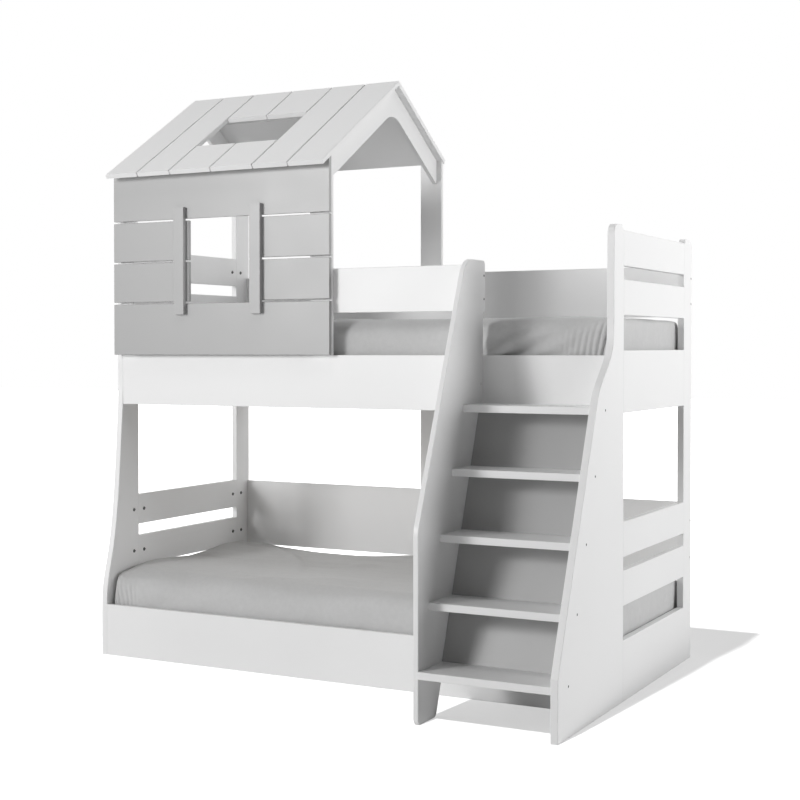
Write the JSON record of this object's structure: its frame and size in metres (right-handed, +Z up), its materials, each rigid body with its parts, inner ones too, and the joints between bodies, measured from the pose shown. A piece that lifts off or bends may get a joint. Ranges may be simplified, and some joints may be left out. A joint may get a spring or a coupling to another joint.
{
  "type": "bunk bed",
  "caption": "Bunk bed of white boards: two mattresses on slatted bases, closed stairs at one end and a small house with a roof over the other end.",
  "frame": {"origin": "on the floor, at the middle of the footprint's bounding box", "axes": "+X along the bed towards the stairs end, -Y is the open front with the stairs, +Z up"},
  "size_m": [2.06, 1.53, 2.286],
  "materials": {
    "white_lacquer": "white satin lacquer on smooth board",
    "grey_lacquer": "light grey satin lacquer on smooth board",
    "bare_pine": "planed bare pine",
    "sheet_fabric": "white woven cotton fitted sheet",
    "screw_steel": "blackened steel",
    "cover_plastic": "white plastic cap"
  },
  "bodies": {
    "root": {"gable_left": "white_lacquer", "gable_right": "white_lacquer", "guard_screws": "screw_steel", "house_front_post": "white_lacquer", "house_rear_post": "white_lacquer", "left_bottom_rail": "white_lacquer", "left_deck_rail": "white_lacquer", "left_front_post": "white_lacquer", "left_high_guards": "white_lacquer", "left_low_guards": "white_lacquer", "left_rear_post": "white_lacquer", "lower_front_rail": "white_lacquer", "lower_mattress": "sheet_fabric", "lower_rear_panel": "white_lacquer", "lower_rear_rail": "white_lacquer", "lower_slats": "bare_pine", "panel_bolts": "screw_steel", "right_bottom_rail": "white_lacquer", "right_deck_rail": "white_lacquer", "right_front_board": "white_lacquer", "right_high_guards": "white_lacquer", "right_low_guards": "white_lacquer", "right_rear_post": "white_lacquer", "roof_battens": "white_lacquer", "roof_plank_1": "white_lacquer", "roof_plank_2": "white_lacquer", "roof_plank_3_lower": "white_lacquer", "roof_plank_3_upper": "white_lacquer", "roof_plank_4_lower": "white_lacquer", "roof_plank_4_upper": "white_lacquer", "roof_plank_5": "white_lacquer", "roof_plank_6": "white_lacquer", "roof_rear_panel": "white_lacquer", "shutter_left": "grey_lacquer", "shutter_right": "grey_lacquer", "slat_ledgers": "bare_pine", "stair_back_panel": "grey_lacquer", "stair_stringer": "white_lacquer", "tread_1": "white_lacquer", "tread_2": "white_lacquer", "tread_3": "white_lacquer", "tread_4": "white_lacquer", "tread_5": "white_lacquer", "tread_screws": "screw_steel", "upper_front_guard": "white_lacquer", "upper_front_rail": "white_lacquer", "upper_mattress": "sheet_fabric", "upper_rear_guard": "white_lacquer", "upper_rear_rail": "white_lacquer", "upper_slats": "bare_pine", "wall_bottom_board": "grey_lacquer", "wall_corner_batten": "white_lacquer", "wall_left_batten": "white_lacquer", "wall_plank_left_lower": "grey_lacquer", "wall_plank_left_upper": "grey_lacquer", "wall_plank_right_lower": "grey_lacquer", "wall_plank_right_upper": "grey_lacquer", "wall_top_board": "grey_lacquer"}
  },
  "joints": []
}
